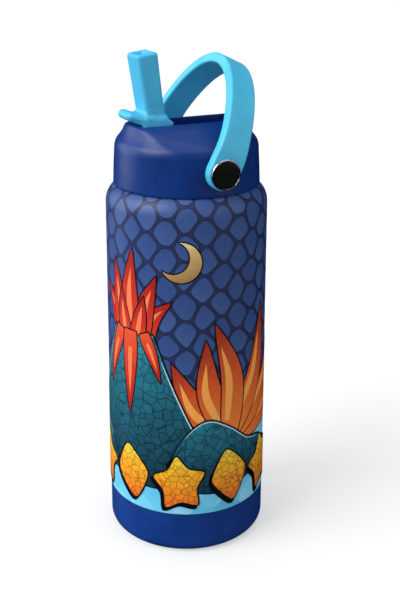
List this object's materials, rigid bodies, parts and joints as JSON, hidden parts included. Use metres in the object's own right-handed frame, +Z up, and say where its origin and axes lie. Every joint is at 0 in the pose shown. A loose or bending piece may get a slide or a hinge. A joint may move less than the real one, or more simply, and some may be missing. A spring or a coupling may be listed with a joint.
{
  "type": "kids water bottle",
  "caption": "Insulated steel kids water bottle with a silicone boot, a screw lid, a flip-up straw spout with a thumb tab and a swinging carry loop.",
  "frame": {"origin": "centre of the boot's flat underside, on the bottle's axis", "axes": "+Z up along the bottle's axis, spout and thumb tab towards -Y, carry loop's pivots on the X axis"},
  "size_m": [0.0792, 0.073, 0.2262],
  "materials": {
    "printed_steel": "satin, printed",
    "bare_steel": "brushed",
    "navy_silicone": "matte",
    "clear_silicone": "matte",
    "navy_plastic": "satin",
    "pale_plastic": "satin",
    "straw_plastic": "gloss",
    "brass": "machined",
    "chrome": "polished",
    "black_face": "gloss",
    "sky_plastic": "satin",
    "sky_silicone": "satin",
    "sky_rubber": "satin"
  },
  "bodies": {
    "bottle": {"outer_shell": "printed_steel", "inner_liner": "bare_steel", "base_plate": "bare_steel", "vacuum_seal": "bare_steel", "silicone_boot": "navy_silicone"},
    "seal": {"lid_gasket": "clear_silicone"},
    "lid": {"lid_shell": "navy_plastic", "lid_insert": "pale_plastic", "spout_pins": "bare_steel", "spout_seal": "clear_silicone", "straw_coupler": "clear_silicone", "straw": "straw_plastic", "vent_valve": "clear_silicone", "pivot_inserts": "brass", "pivot_screws": "bare_steel", "pivot_washers": "pale_plastic", "pivot_rings": "chrome", "pivot_caps": "black_face"},
    "spout": {"spout_base": "sky_plastic", "mouthpiece": "sky_silicone"},
    "loop": {"carry_loop": "sky_rubber", "loop_bushings": "pale_plastic"}
  },
  "joints": [
    {"name": "lid_lift", "type": "slide", "parent": "bottle", "child": "seal", "axis": [0, 0, 1], "range_m": [0, 0.005]},
    {"name": "lid_turn", "type": "hinge", "parent": "seal", "child": "lid", "pos_m": [0, 0, 0.1786], "axis": [0, 0, 1], "range_deg": [0, 450]},
    {"name": "spout_flip", "type": "hinge", "parent": "lid", "child": "spout", "pos_m": [0, -0.0162, 0.1908], "axis": [-1, 0, 0], "range_deg": [0, 96]},
    {"name": "loop_swing", "type": "hinge", "parent": "lid", "child": "loop", "pos_m": [0, 0, 0.178], "axis": [1, 0, 0], "range_deg": [-78, 34]}
  ],
  "couplings": [
    {"joint": "lid_lift", "follows": "lid_turn", "m_per_rad": 0.00063662}
  ]
}
